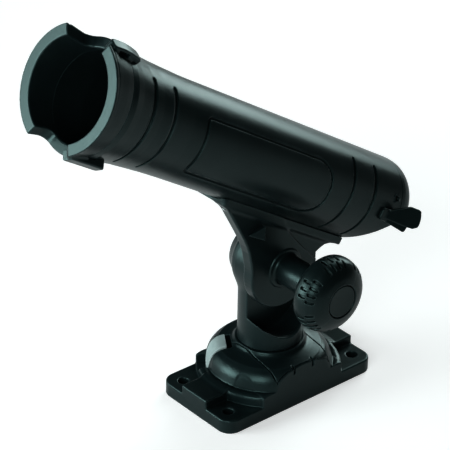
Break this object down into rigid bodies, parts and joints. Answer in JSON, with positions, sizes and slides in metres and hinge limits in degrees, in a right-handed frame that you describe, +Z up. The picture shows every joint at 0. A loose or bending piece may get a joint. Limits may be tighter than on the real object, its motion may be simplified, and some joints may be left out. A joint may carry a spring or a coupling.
{
  "type": "rod holder",
  "caption": "Tilting tube rod holder on a swivel post with a deck base, a clamp knob and a release button.",
  "frame": {"origin": "on the base's underside, on the swivel post's axis", "axes": "+Z up from the deck, +X along the base towards the tube's rear end, clamp knob on the -Y side"},
  "size_m": [0.2118, 0.0811, 0.2223],
  "materials": {
    "black_plastic": "satin moulded glass-filled nylon",
    "dark_plastic": "satin moulded nylon, slightly glossier",
    "pale_plastic": "fine-ribbed moulded plastic",
    "nylon": "natural moulded nylon",
    "steel": "stainless, fine brushed",
    "brass": "turned",
    "rubber": "moulded"
  },
  "bodies": {
    "base": {"mounting_base": "black_plastic", "dome_saddle": "black_plastic", "latch_spring": "steel"},
    "release": {"release_button": "pale_plastic", "latch_plate": "nylon"},
    "swivel": {"swivel_post": "black_plastic", "spigot_ring": "rubber", "tilt_bolt": "steel", "bolt_washer": "steel", "clutch_spring": "steel"},
    "tube_arm": {"tilt_arm": "black_plastic", "rod_tube": "black_plastic", "mouth_collar": "black_plastic", "end_cap": "black_plastic", "cord_cleat": "dark_plastic", "arm_screw_front": "steel", "arm_screw_rear": "steel", "cleat_screw": "steel"},
    "knob": {"knob_body": "dark_plastic", "knob_cap": "dark_plastic", "knob_insert": "brass", "knob_washer": "steel"}
  },
  "joints": [
    {"name": "button_press", "type": "slide", "parent": "base", "child": "release", "axis": [0.829, -0.5592, 0], "range_m": [0, 0.0025], "stiffness_N_per_m": 800, "springref_m": -0.0005, "deforming": ["latch_spring"]},
    {"name": "post_swivel", "type": "hinge", "parent": "base", "child": "swivel", "pos_m": [0, 0, 0.0269], "axis": [0, 0, 1], "continuous": true},
    {"name": "tube_tilt", "type": "hinge", "parent": "swivel", "child": "tube_arm", "pos_m": [0, 0, 0.0704], "axis": [0, 1, 0], "range_deg": [-45, 45]},
    {"name": "knob_turn", "type": "hinge", "parent": "swivel", "child": "knob", "pos_m": [0, -0.0422, 0.0704], "axis": [0, -1, 0], "continuous": true}
  ]
}
